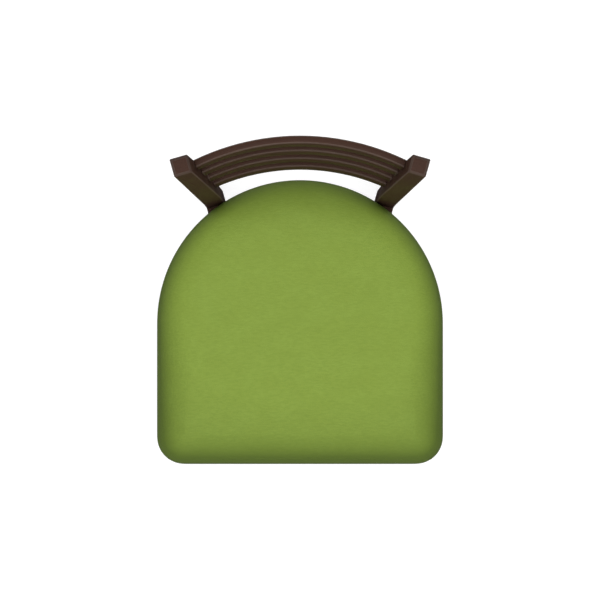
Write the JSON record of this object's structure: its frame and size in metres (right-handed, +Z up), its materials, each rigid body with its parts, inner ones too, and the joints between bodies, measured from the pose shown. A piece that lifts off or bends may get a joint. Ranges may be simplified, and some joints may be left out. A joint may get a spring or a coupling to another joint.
{
  "type": "side chair",
  "caption": "Wooden side chair with a curved ladder back, square bent back posts and a padded horseshoe seat.",
  "frame": {"origin": "on the floor, under the middle of the chair's bounding box", "axes": "+Z up, -Y the way the sitter faces, +X to the sitter's left"},
  "size_m": [0.434, 0.4956, 0.85],
  "materials": {
    "stained_beech": "dark walnut stain under satin lacquer",
    "raw_beech": "planed and unfinished",
    "green_vinyl": "fine-grained upholstery vinyl, low sheen",
    "seat_foam": "open-cell polyurethane foam",
    "plywood": "sanded and unfinished",
    "dust_cloth": "thin non-woven cloth",
    "zinc_screw": "bright zinc plate",
    "nylon_glide": "moulded black nylon"
  },
  "bodies": {
    "root": {"back_post_left": "stained_beech", "back_post_right": "stained_beech", "front_leg_left": "stained_beech", "front_leg_right": "stained_beech", "back_slat_1": "stained_beech", "back_slat_2": "stained_beech", "back_slat_3": "stained_beech", "back_slat_4": "stained_beech", "front_rail": "stained_beech", "rear_rail": "stained_beech", "side_rail_left": "stained_beech", "side_rail_right": "stained_beech", "side_stretcher_left": "stained_beech", "side_stretcher_right": "stained_beech", "cross_stretcher": "stained_beech", "corner_brace_front_left": "raw_beech", "corner_brace_front_right": "raw_beech", "corner_brace_rear_left": "raw_beech", "corner_brace_rear_right": "raw_beech", "seat_cover": "green_vinyl", "seat_foam": "seat_foam", "seat_board": "plywood", "dust_cover": "dust_cloth", "seat_screw_front_left": "zinc_screw", "seat_screw_front_right": "zinc_screw", "seat_screw_rear_left": "zinc_screw", "seat_screw_rear_right": "zinc_screw", "brace_screw_front_left_1": "zinc_screw", "brace_screw_front_left_2": "zinc_screw", "brace_screw_front_right_1": "zinc_screw", "brace_screw_front_right_2": "zinc_screw", "brace_screw_rear_left_1": "zinc_screw", "brace_screw_rear_left_2": "zinc_screw", "brace_screw_rear_right_1": "zinc_screw", "brace_screw_rear_right_2": "zinc_screw", "glide_front_left": "nylon_glide", "glide_front_right": "nylon_glide", "glide_rear_left": "nylon_glide", "glide_rear_right": "nylon_glide"}
  },
  "joints": []
}
